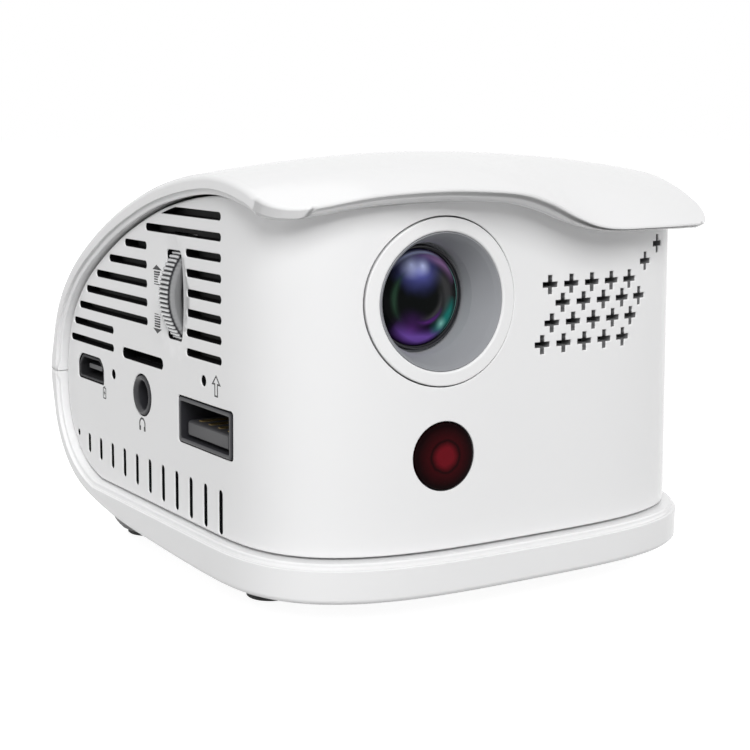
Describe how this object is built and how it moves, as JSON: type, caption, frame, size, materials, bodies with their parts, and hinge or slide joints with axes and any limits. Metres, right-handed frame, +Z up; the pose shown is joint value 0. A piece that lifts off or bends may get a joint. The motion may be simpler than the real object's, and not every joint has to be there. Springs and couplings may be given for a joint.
{
  "type": "mini projector",
  "caption": "Palm-sized battery projector: crowned lid with a waved brim over a bowed front with a recessed lens, side vents and sockets, geared focus wheel, domed feet.",
  "frame": {"origin": "on the ground under the middle of the casing's box", "axes": "+Z up; the lens looks along -Y; +X is the starboard side, and the sockets are on the -X side"},
  "size_m": [0.0648, 0.0734, 0.0532],
  "materials": {
    "white_gloss": "gloss",
    "grey_plastic": "satin",
    "black_plastic": "satin",
    "black_foam": "matt open foam",
    "grey_rubber": "matt",
    "dark_rubber": "matt",
    "silver_plastic": "semi-gloss",
    "steel": "brushed",
    "brass": "machined",
    "aluminium": "satin",
    "green_board": "satin solder mask",
    "coated_glass": "polished, coated",
    "red_glass": "polished, dark red",
    "cell_wrap": "shrink wrap",
    "yellow_board": "matt ceramic"
  },
  "bodies": {
    "housing": {"top_cover": "white_gloss", "bottom_cover": "white_gloss", "main_shell": "white_gloss", "lens_ring": "white_gloss", "lens_shroud": "grey_plastic", "usb_tongue": "grey_plastic", "ir_receiver": "black_plastic", "lens_bracket": "black_plastic", "optical_engine": "black_plastic", "fan_frame": "black_plastic", "speaker": "black_plastic", "usb_socket": "black_plastic", "micro_usb_tongue": "black_plastic", "headphone_jack": "black_plastic", "power_switch": "black_plastic", "vent_screen_port": "black_foam", "vent_screen_starboard": "black_foam", "grille_screen_port": "black_foam", "grille_screen_starboard": "black_foam", "micro_usb_socket": "steel", "card_socket": "steel", "reset_switch": "steel", "upgrade_switch": "steel", "base_screw_front_port": "steel", "board_screw_front_port": "steel", "base_screw_front_starboard": "steel", "board_screw_front_starboard": "steel", "base_screw_rear_port": "steel", "board_screw_rear_port": "steel", "base_screw_rear_starboard": "steel", "board_screw_rear_starboard": "steel", "heat_sink": "aluminium", "imager_board": "green_board", "main_board": "green_board", "led_module": "yellow_board", "ir_window": "red_glass", "battery": "cell_wrap", "foot_front_port": "grey_rubber", "foot_front_starboard": "grey_rubber", "foot_rear_port": "grey_rubber", "foot_rear_starboard": "grey_rubber", "sole_front_port": "dark_rubber", "sole_front_starboard": "dark_rubber", "sole_rear_port": "dark_rubber", "sole_rear_starboard": "dark_rubber"},
    "focus_wheel": {"focus_wheel": "silver_plastic", "focus_pinion": "brass", "focus_axle": "steel"},
    "focus_ring": {"focus_ring": "black_plastic"},
    "lens_barrel": {"lens_barrel": "black_plastic", "front_lens": "coated_glass"},
    "fan_rotor": {"fan_rotor": "black_plastic"},
    "reset_button": {"reset_button": "black_plastic"},
    "upgrade_button": {"upgrade_button": "black_plastic"},
    "power_button": {"power_button": "white_gloss"}
  },
  "joints": [
    {"name": "focus_wheel_turn", "type": "hinge", "parent": "housing", "child": "focus_wheel", "pos_m": [-0.0244, -0.002, 0.03574], "axis": [0, 1, 0], "range_deg": [-150, 150]},
    {"name": "focus_ring_turn", "type": "hinge", "parent": "housing", "child": "focus_ring", "pos_m": [-0.0118, -0.0075, 0.03691], "axis": [0, 1, 0], "range_deg": [-53, 53]},
    {"name": "lens_slide", "type": "slide", "parent": "housing", "child": "lens_barrel", "axis": [0, -1, 0], "range_m": [-0.0008, 0.0008]},
    {"name": "fan_spin", "type": "hinge", "parent": "housing", "child": "fan_rotor", "pos_m": [0.0209, -0.00069, 0.0211], "axis": [1, 0, 0], "continuous": true},
    {"name": "reset_press", "type": "slide", "parent": "housing", "child": "reset_button", "axis": [1, 0, 0], "range_m": [0, 0.00025], "stiffness_N_per_m": 400},
    {"name": "upgrade_press", "type": "slide", "parent": "housing", "child": "upgrade_button", "axis": [1, 0, 0], "range_m": [0, 0.00025], "stiffness_N_per_m": 400},
    {"name": "power_press", "type": "slide", "parent": "housing", "child": "power_button", "axis": [-1, 0, 0], "range_m": [0, 0.0005], "stiffness_N_per_m": 800}
  ],
  "couplings": [
    {"joint": "focus_wheel_turn", "follows": "lens_slide", "rad_per_m": 3269.2},
    {"joint": "focus_ring_turn", "follows": "lens_slide", "rad_per_m": -1153.8}
  ]
}
